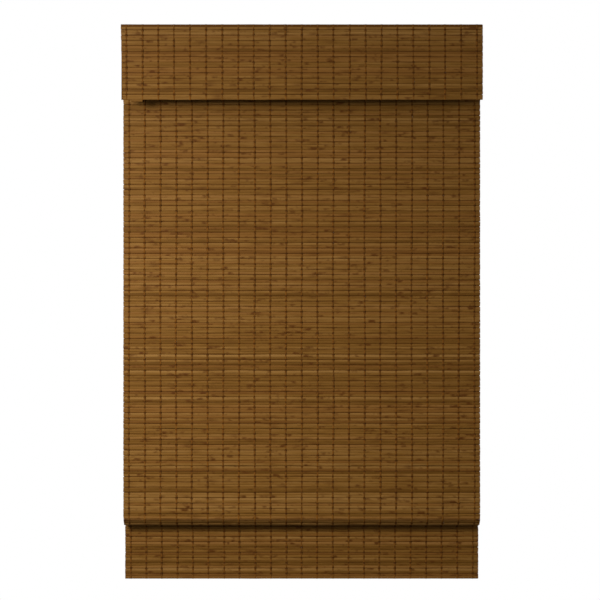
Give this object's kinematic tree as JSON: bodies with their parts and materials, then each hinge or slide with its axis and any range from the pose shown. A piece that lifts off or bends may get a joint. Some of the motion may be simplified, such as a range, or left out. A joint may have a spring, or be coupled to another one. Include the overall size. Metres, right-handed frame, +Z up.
{
  "type": "bamboo roman shade",
  "caption": "Woven bamboo slat roman shade with a flat valance, a wooden headrail, a lift pleat and a turned bottom fold that ends in a free tail.",
  "frame": {"origin": "centre of the headrail's top face, which lies against the window opening's head", "axes": "+Z up, +X to the right seen from the room, +Y to the window; the room side faces -Y"},
  "size_m": [0.914, 0.0786, 1.4161],
  "materials": {
    "bamboo": "satin stained bamboo",
    "thread": "twisted cotton thread",
    "pine": "planed and unpainted",
    "steel": "zinc plated",
    "nylon": "moulded",
    "tape": "hook and loop tape"
  },
  "bodies": {
    "headrail_body": {"headrail": "pine", "valance": "bamboo", "valance_threads": "thread", "valance_tape": "tape", "panel_staples": "steel", "lift_unit_case": "nylon", "lift_unit_cover": "nylon", "lift_unit_screws": "steel", "cord_guides": "steel", "panel": "bamboo", "panel_threads": "thread", "ring_row_1": "nylon", "ring_row_2": "nylon", "ring_row_3": "nylon", "ring_row_4": "nylon", "ring_row_5": "nylon"},
    "pleat_upper_body": {"pleat_upper": "bamboo", "pleat_upper_threads": "thread"},
    "pleat_lower_body": {"pleat_lower": "bamboo", "pleat_lower_threads": "thread"},
    "bottom_body": {"bottom_fold": "bamboo", "bottom_fold_threads": "thread", "bottom_rail": "pine", "ring_row_6": "nylon"}
  },
  "joints": [
    {"name": "pleat_lift", "type": "hinge", "parent": "headrail_body", "child": "pleat_upper_body", "pos_m": [0, 0.02, -1.025], "axis": [-1, 0, 0], "range_deg": [0, 80]},
    {"name": "front_fold", "type": "hinge", "parent": "pleat_upper_body", "child": "pleat_lower_body", "pos_m": [0, 0.0216, -1.1202], "axis": [-1, 0, 0], "range_deg": [-160, 0]},
    {"name": "back_fold", "type": "hinge", "parent": "pleat_lower_body", "child": "bottom_body", "pos_m": [0, 0.02, -1.2154], "axis": [-1, 0, 0], "range_deg": [0, 80]}
  ],
  "couplings": [
    {"joint": "front_fold", "follows": "pleat_lift", "ratio": -2},
    {"joint": "back_fold", "follows": "pleat_lift", "ratio": 1}
  ]
}
